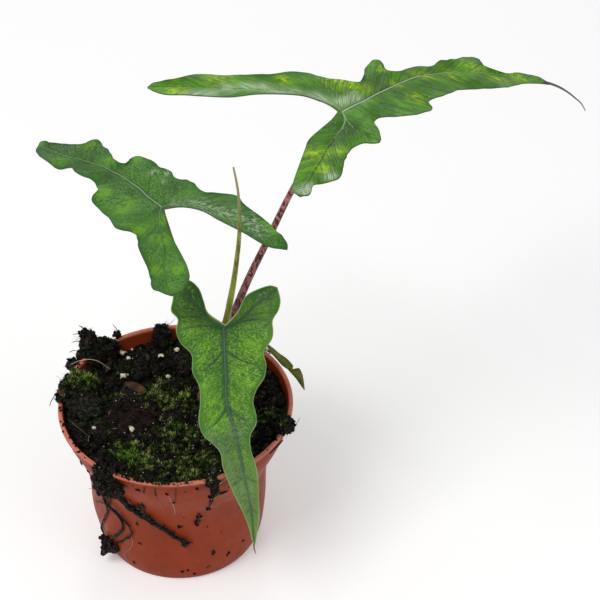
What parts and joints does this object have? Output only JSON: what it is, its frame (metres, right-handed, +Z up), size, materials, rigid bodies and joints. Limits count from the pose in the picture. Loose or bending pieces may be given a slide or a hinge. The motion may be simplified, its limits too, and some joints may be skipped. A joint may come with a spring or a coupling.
{
  "type": "potted sabrina alocasia",
  "caption": "Young alocasia with wavy arrow-shaped leaves on slim mottled stalks, rooted in mossy peat soil in a round clay-red plastic nursery pot.",
  "frame": {"origin": "centre of the pot's underside, on the plane that it stands on", "axes": "+Z up along the pot's axis, -Y towards the front as pictured, +X to the right of the front view"},
  "size_m": [0.2857, 0.1821, 0.2619],
  "materials": {
    "pot": "thin clay-red plastic with a low sheen, flecked with soil",
    "soil": "damp black peat mix with crumbs, fibres and patches of moss",
    "crown": "brown papery leaf bases",
    "petiole": "smooth and pinkish brown with dark mottling",
    "leaf": "glossy green with a fine net of paler veins",
    "new_growth": "satin olive green with tiny pale dots",
    "root": "matt black-brown bark of dead roots",
    "bark": "rough red-brown splinter",
    "perlite": "chalky white grain"
  },
  "bodies": {
    "root": {"pot": "pot", "soil": "soil", "crown": "crown", "petiole_upper": "petiole", "petiole_left": "petiole", "petiole_front": "petiole", "leaf_upper": "leaf", "leaf_left": "leaf", "leaf_front": "leaf", "new_leaf_spear": "new_growth", "small_folded_leaf": "new_growth", "old_root": "root", "fine_roots": "root", "bark_chip": "bark", "perlite_1": "perlite", "perlite_2": "perlite", "perlite_3": "perlite", "perlite_4": "perlite", "perlite_5": "perlite", "perlite_6": "perlite", "perlite_7": "perlite", "perlite_8": "perlite"}
  },
  "joints": []
}
